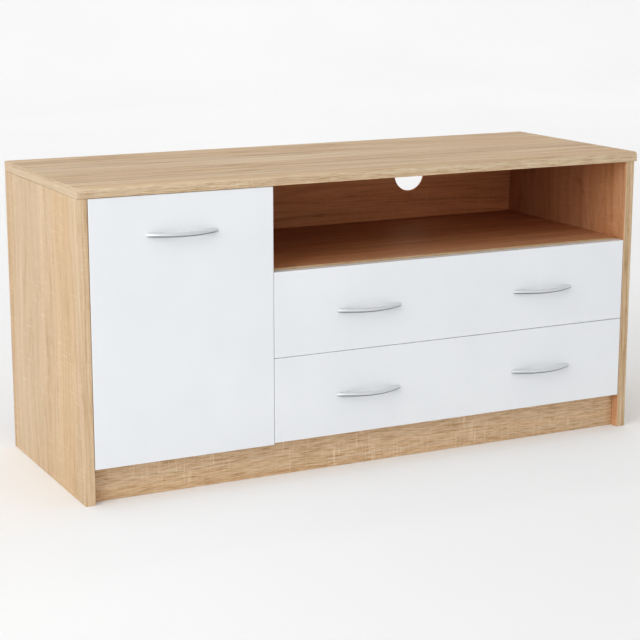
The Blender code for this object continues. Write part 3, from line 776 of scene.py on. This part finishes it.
def add_screw(shape, centre, axis, radius, height):
    """A domed screw head with a cross recess, standing on centre."""
    matrix = Matrix.Translation(centre) @ turn_to(axis)
    dome = [(share, 1 - SCREW_DOME_DROP * share**2) for share in (0.0, *SCREW_DRIVE_RINGS, *SCREW_DOME_RINGS)]
    rings = []
    for share, level in (*dome, *SCREW_EDGE):
        ring = []
        for step in range(SCREW_SIDES if share else 1):
            angle = 2 * math.pi * step / SCREW_SIDES
            x = radius * share * math.cos(angle)
            y = radius * share * math.sin(angle)
            near_cross = min(abs(x), abs(y)) < CROSS_HALF_WIDTH * radius
            in_cross = near_cross and share <= SCREW_DRIVE_RINGS[-1]
            z = height * (CROSS_FLOOR if in_cross else level)
            ring.append(shape.verts.new(matrix @ Vector((x, y, z))))
        rings.append(ring)
    for inner, outer in zip(rings, rings[1:]):
        for step in range(SCREW_SIDES):
            after = (step + 1) % SCREW_SIDES
            corners = [inner[step % len(inner)], outer[step], outer[after], inner[after % len(inner)]]
            shape.faces.new(list(dict.fromkeys(corners)))
    shape.faces.new(list(reversed(rings[-1])))


def make_screws(name, places, axis, head, steel, body):
    """One piece holding every screw head of a group; head is its radius and height."""
    shape = bmesh.new()
    for place in places:
        add_screw(shape, place, axis, *head)
    add_piece(name, shape, [steel], body, smooth_angle=40.0)


# ---------------------------------------------------------------- fronts and handles
HANDLE_FOOT = 0.015           # length of each solid foot
HANDLE_FINGER_DEPTH = 0.0145  # between the bow and the front, at the middle
HANDLE_BLUNTNESS = 4.0        # how square the bow's ends are, seen from the front
HANDLE_END_HEIGHT = 0.0038    # height of the ends
HANDLE_LEDGE = 0.0012         # thickness where the bow runs out
HANDLE_STATIONS = 97          # sections along the bow
HANDLE_HOLES = 0.096          # between the two screws
HANDLE_CORNER = 0.0008        # rounding of the two corners next to the front
HANDLE_BELLY = 0.55           # share of the section's depth that its round outer side takes
HANDLE_ARC_STEPS = 24
HANDLE_CORNER_STEPS = 4
CUTTER_EXTRA = 0.005          # how far a cutter reaches past the face that it opens


def cup_holes():
    """Cutters for the two hinge cups in the door's back."""
    for place in ("lower", "upper"):
        low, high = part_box(f"hinge_cup_{place}")
        radius = (high.x - low.x) / 2 + TOUCH_GAP
        floor = low.y - TOUCH_GAP
        mouth = high.y + CUTTER_EXTRA
        centre = Vector(((low.x + high.x) / 2, (floor + mouth) / 2, (low.z + high.z) / 2))
        yield rod_shape(centre, (0, 1, 0), radius, mouth - floor, 64)


def make_fronts(white):
    """The door, cut for its hinge cups, and the drawer fronts."""
    make_board("door", [white], cutters=list(cup_holes()))
    for level in ("lower", "upper"):
        make_board(f"drawer_{level}_front", [white])


def arc_height(x, half_chord, rise):
    """Height over its chord of a circular arc with this half chord and rise."""
    radius = (half_chord**2 + rise**2) / (2 * rise)
    if abs(x) >= half_chord:
        return 0.0
    return math.sqrt(radius**2 - x**2) - (radius - rise)


def handle_section(x, half_length, reach, height):
    """The closed section at x from the bow's middle, as (distance off the front, height) points."""
    share = min(abs(x) / half_length, 1.0)
    fullness = math.sqrt(1 - share**HANDLE_BLUNTNESS)
    half_height = (HANDLE_END_HEIGHT + (height - HANDLE_END_HEIGHT) * fullness) / 2
    outer = arc_height(x, half_length, reach - HANDLE_LEDGE) + HANDLE_LEDGE
    inner = max(arc_height(x, half_length - HANDLE_FOOT, HANDLE_FINGER_DEPTH), TOUCH_GAP)
    depth = outer - inner
    corner = min(HANDLE_CORNER, 0.4 * depth, 0.6 * half_height)
    points = []
    for step in range(HANDLE_ARC_STEPS + 1):
        angle = -math.pi / 2 + math.pi * step / HANDLE_ARC_STEPS
        off = inner + depth * (1 - HANDLE_BELLY + HANDLE_BELLY * math.cos(angle))
        points.append((off, half_height * math.sin(angle)))
    for side in (1, -1):
        for step in range(HANDLE_CORNER_STEPS + 1):
            turned = step if side > 0 else HANDLE_CORNER_STEPS - step
            angle = math.pi / 2 * turned / HANDLE_CORNER_STEPS
            off = inner + corner - corner * math.sin(angle)
            points.append((off, side * (half_height - corner + corner * math.cos(angle))))
    return points


def make_handle(node, silver):
    """A bow handle: a crescent seen from above and a blunt spindle seen from the front."""
    low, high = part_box(node)
    middle = (low + high) / 2
    half_length = (high.x - low.x) / 2
    shape = bmesh.new()
    rings = []
    for station in range(HANDLE_STATIONS):
        # Stations crowd towards the ends, where the outline turns fastest.
        x = -half_length * math.cos(math.pi * station / (HANDLE_STATIONS - 1))
        section = handle_section(x, half_length, FRONT - low.y, high.z - low.z)
        rings.append([shape.verts.new((middle.x + x, FRONT - off, middle.z + up)) for off, up in section])
    for ring, after in zip(rings, rings[1:]):
        for first in range(len(ring)):
            second = (first + 1) % len(ring)
            shape.faces.new((ring[first], ring[second], after[second], after[first]))
    shape.faces.new(rings[0])
    shape.faces.new(rings[-1])
    bmesh.ops.recalc_face_normals(shape, faces=shape.faces)
    add_piece(f"{node}_bow", shape, [silver], node=node, smooth_angle=50.0)


def make_handles(steel):
    """Every handle, with its two screws inside the front."""
    silver = satin_silver_painted_shade()
    for node in NODES:
        if "handle" not in node:
            continue
        make_handle(node, silver)
        low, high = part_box(node)
        middle = (low + high) / 2
        places = [Vector((middle.x + side * HANDLE_HOLES / 2, FRONT_BACK, middle.z)) for side in (-1, 1)]
        make_screws(f"{node}_screws", places, (0, 1, 0), HANDLE_SCREW, steel, BODY_OF[node])


# ---------------------------------------------------------------- hinges
ARM_THICK = 0.003             # the steel of the arm at its foot
CUP_SCREW_FROM_END = 0.0045   # from the ends of the cup's flange
PLATE_SCREW_FROM_END = 0.007
ARM_SCREWS_FROM_BACK = (0.008, 0.024)


def make_hinges(nickel, steel):
    """Plated hinge parts with their screws."""
    side_body = BODY_OF["side_left"]
    for place in ("lower", "upper"):
        for part in ("plate", "arm", "cup"):
            dress(f"hinge_{part}_{place}", nickel)
        low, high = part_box(f"hinge_cup_{place}")
        middle_x = (low.x + high.x) / 2
        heights = (low.z + CUP_SCREW_FROM_END, high.z - CUP_SCREW_FROM_END)
        wings = [Vector((middle_x, high.y, z)) for z in heights]
        make_screws(f"hinge_cup_screws_{place}", wings, (0, 1, 0), CUP_SCREW, steel, "door")
        low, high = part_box(f"hinge_plate_{place}")
        middle_y = (low.y + high.y) / 2
        heights = (low.z + PLATE_SCREW_FROM_END, high.z - PLATE_SCREW_FROM_END)
        plate = [Vector((high.x, middle_y, z)) for z in heights]
        make_screws(f"hinge_plate_screws_{place}", plate, (1, 0, 0), PLATE_SCREW, steel, side_body)
        low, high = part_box(f"hinge_arm_{place}")
        foot_x = low.x + ARM_THICK
        middle_z = (low.z + high.z) / 2
        arm = [Vector((foot_x, high.y - back, middle_z)) for back in ARM_SCREWS_FROM_BACK]
        make_screws(f"hinge_arm_screws_{place}", arm, (1, 0, 0), ARM_SCREW, steel, side_body)


# ---------------------------------------------------------------- drawer boxes and runners
DRAWER_ARRIS = 0.0012         # rounded edges of the drawer boxes
RAIL_STEEL = 0.0012           # thickness of the rolled rail
RAIL_SCREW_SHARES = (0.14, 0.5, 0.9)   # along the rail from its front end
ROLLER_BORE = 0.0033          # radii
ROLLER_HUB = 0.0050
ROLLER_RIM = 0.0078
ROLLER_DISH = 0.0010          # how deep the web between hub and rim is sunk
ROLLER_ROUND = 0.0007         # rounding of the tread's edges


def make_drawer_boxes(foil, raw):
    """Foil-wrapped sides and back with bare ends, and a hardboard bottom that is white on top."""
    hardboard = raw_hardboard()
    side_slots = {(X, 1): 0, (X, -1): 0, (Z, 1): 0}
    back_slots = {(Y, 1): 0, (Y, -1): 0, (Z, 1): 0}
    bottom_slots = {(Z, 1): 0}
    for level in ("lower", "upper"):
        for side in ("side_left", "side_right"):
            make_board(f"drawer_{level}_{side}", [foil, raw], side_slots, 1, arris=DRAWER_ARRIS)
        make_board(f"drawer_{level}_back", [foil, raw], back_slots, 1, arris=DRAWER_ARRIS)
        make_board(f"drawer_{level}_bottom", [foil, hardboard], bottom_slots, 1, arris=HARDBOARD_ARRIS)


def make_roller(node, nylon):
    """A moulded roller with a rounded tread and a dished web."""
    low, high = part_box(node)
    half = (high.x - low.x) / 2
    radius = (high.z - low.z) / 2
    one_face = [
        (ROLLER_BORE, half), (ROLLER_HUB, half), (ROLLER_HUB, half - ROLLER_DISH),
        (ROLLER_RIM, half - ROLLER_DISH), (ROLLER_RIM, half), (radius - ROLLER_ROUND, half),
        (radius - 0.3 * ROLLER_ROUND, half - 0.3 * ROLLER_ROUND), (radius, half - ROLLER_ROUND),
    ]
    other_face = [(r, -h) for r, h in reversed(one_face)]
    shape = bmesh.new()
    add_turned(shape, one_face + other_face, (low + high) / 2, (1, 0, 0), 48, closed=True)
    bmesh.ops.recalc_face_normals(shape, faces=shape.faces)
    add_piece(f"{node}_wheel", shape, [nylon], node=node)


def make_rail_screws(node, steel):
    """The screws that hold a fixed rail to its panel, on the rail's open side."""
    low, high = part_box(node)
    way = 1 if "_left_" in node else -1
    x = low.x + RAIL_STEEL if way > 0 else high.x - RAIL_STEEL
    length = high.y - low.y
    middle_z = (low.z + high.z) / 2
    places = [Vector((x, low.y + share * length, middle_z)) for share in RAIL_SCREW_SHARES]
    make_screws(f"{node}_screws", places, (way, 0, 0), RAIL_SCREW, steel, BODY_OF[node])


def make_runners(steel):
    """Enamelled rails with their screws, and nylon rollers."""
    enamel = white_enamel()
    nylon = white_nylon()
    for node in NODES:
        if node.endswith("_roller"):
            make_roller(node, nylon)
        elif node.endswith("_rail") and node.startswith("runner"):
            dress(node, enamel)
        if node.endswith("_fixed_rail"):
            make_rail_screws(node, steel)


def dress(node, material):
    """Give a CAD node that stays visible its finished material."""
    NODES[node].data.materials.clear()
    NODES[node].data.materials.append(material)


def make_everything():
    """Make or dress every piece of the stand."""
    raw = raw_chipboard()
    white = white_laminate()
    steel = metal_material("zinc_steel", (0.66, 0.67, 0.66), (0.54, 0.55, 0.55), 0.32, Z)
    nickel = metal_material("nickel_plate", (0.72, 0.70, 0.67), (0.62, 0.60, 0.57), 0.24, Y)
    make_upright_boards(raw)
    make_level_boards(raw)
    make_top_board(raw)
    make_base_boards(raw)
    make_back_board()
    make_nails(steel)
    make_fronts(white)
    make_handles(steel)
    make_hinges(nickel, steel)
    for node in NODES:
        if node.startswith("shelf_pin"):
            dress(node, nickel)
    make_drawer_boxes(drawer_foil(), raw)
    make_runners(steel)


set_camera()
set_view()
set_light()
make_floor()
make_everything()

boxes = {"cad": CAD_BOX, "visual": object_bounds()}
{name: [list(corner) for corner in corners] for name, corners in boxes.items()}
